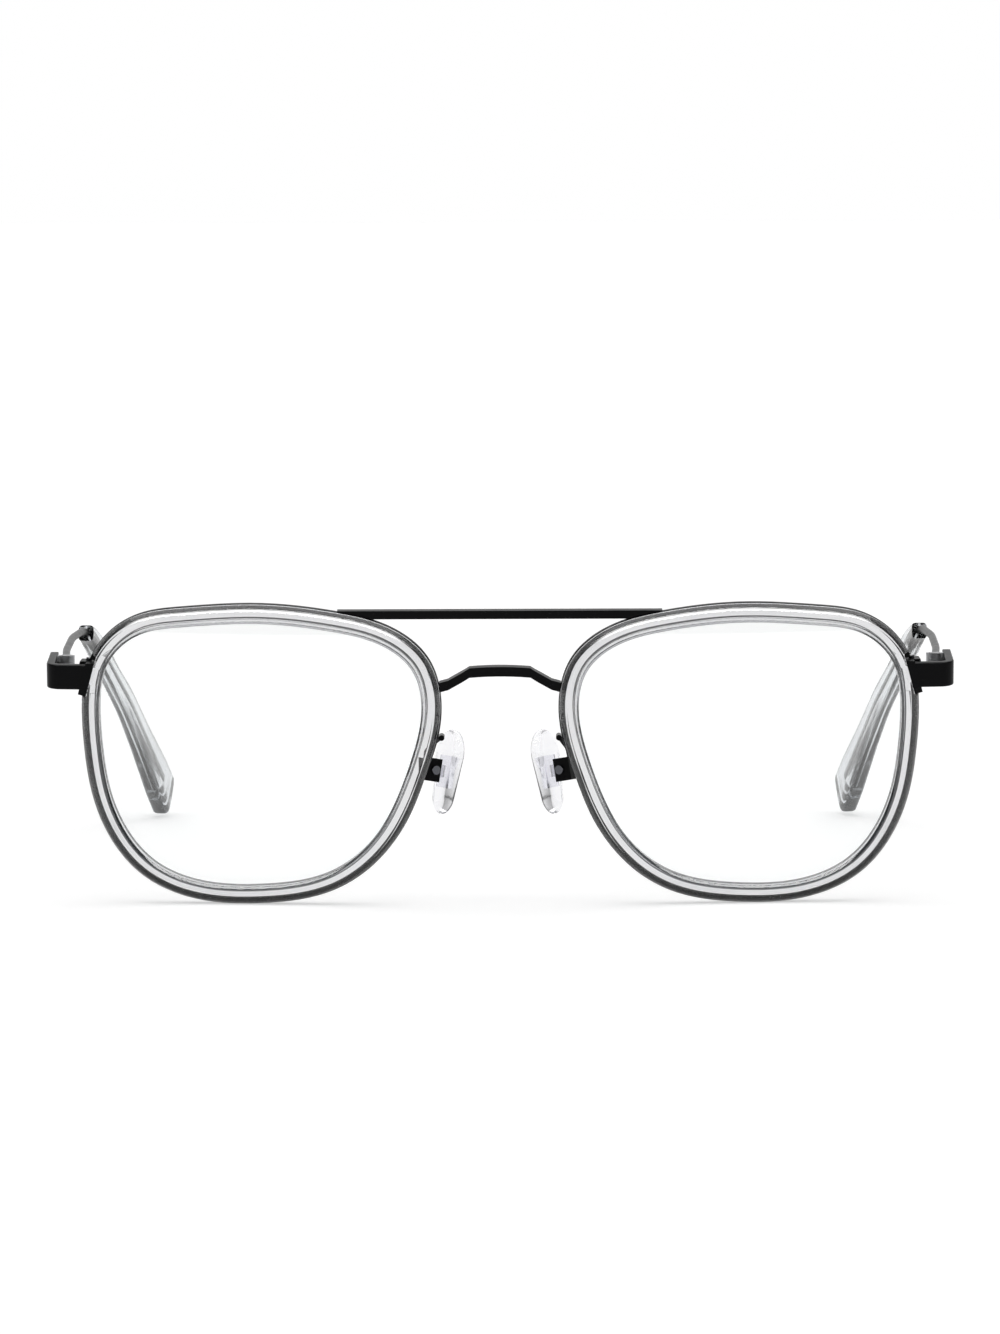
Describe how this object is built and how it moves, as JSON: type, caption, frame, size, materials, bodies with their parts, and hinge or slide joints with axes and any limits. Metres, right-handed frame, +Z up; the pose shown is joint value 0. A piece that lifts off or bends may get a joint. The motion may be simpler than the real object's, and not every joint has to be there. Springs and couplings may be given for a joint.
{
  "type": "double bridge glasses",
  "caption": "Spectacle frame with clear acetate rims in a black metal front, a straight top bar over an arched saddle bridge, wire temples and screw-on nose pads.",
  "frame": {"origin": "on the surface it stands on, under the middle of the whole open frame", "axes": "+X to the wearer's left, +Y from the lenses towards the temple tips, +Z up"},
  "size_m": [0.1422, 0.143, 0.0472],
  "materials": {
    "crystal_acetate": "clear, slightly grey, polished",
    "black_metal": "thin matte black coating",
    "black_screw": "blackened steel",
    "clear_lens": "clear, untinted, polished",
    "clear_pad": "clear soft moulded",
    "clear_insert": "clear stiff moulded"
  },
  "bodies": {
    "front": {"top_bar": "black_metal", "saddle_bridge": "black_metal", "acetate_rim_right": "crystal_acetate", "rim_wire_right": "black_metal", "lens_right": "clear_lens", "rim_lock_upper_right": "black_metal", "rim_lock_lower_right": "black_metal", "rim_lock_screw_right": "black_screw", "end_piece_right": "black_metal", "hinge_knuckles_right": "black_metal", "hinge_screw_right": "black_screw", "pad_box_right": "black_metal", "pad_screw_right": "black_screw", "pad_arm_right": "black_metal", "acetate_rim_left": "crystal_acetate", "rim_wire_left": "black_metal", "lens_left": "clear_lens", "rim_lock_upper_left": "black_metal", "rim_lock_lower_left": "black_metal", "rim_lock_screw_left": "black_screw", "end_piece_left": "black_metal", "hinge_knuckles_left": "black_metal", "hinge_screw_left": "black_screw", "pad_box_left": "black_metal", "pad_screw_left": "black_screw", "pad_arm_left": "black_metal"},
    "temple_right": {"hinge_leaf_right": "black_metal", "temple_arm_right": "black_metal", "temple_tip_right": "crystal_acetate"},
    "pad_right": {"nose_pad_right": "clear_pad", "pad_insert_right": "clear_insert"},
    "temple_left": {"hinge_leaf_left": "black_metal", "temple_arm_left": "black_metal", "temple_tip_left": "crystal_acetate"},
    "pad_left": {"nose_pad_left": "clear_pad", "pad_insert_left": "clear_insert"}
  },
  "joints": [
    {"name": "temple_fold_right", "type": "hinge", "parent": "front", "child": "temple_right", "pos_m": [-0.06757, -0.05761, 0.0366], "axis": [0, 0, -1], "range_deg": [0, 76]},
    {"name": "temple_fold_left", "type": "hinge", "parent": "front", "child": "temple_left", "pos_m": [0.06757, -0.05761, 0.0366], "axis": [0, 0, 1], "range_deg": [0, 84]},
    {"name": "pad_rock_right", "type": "hinge", "parent": "front", "child": "pad_right", "pos_m": [-0.01067, -0.06041, 0.02053], "axis": [-0.5, 0.866, 0], "range_deg": [-8, 8]},
    {"name": "pad_rock_left", "type": "hinge", "parent": "front", "child": "pad_left", "pos_m": [0.00977, -0.06041, 0.02053], "axis": [0.5, 0.866, 0], "range_deg": [-8, 8]}
  ]
}
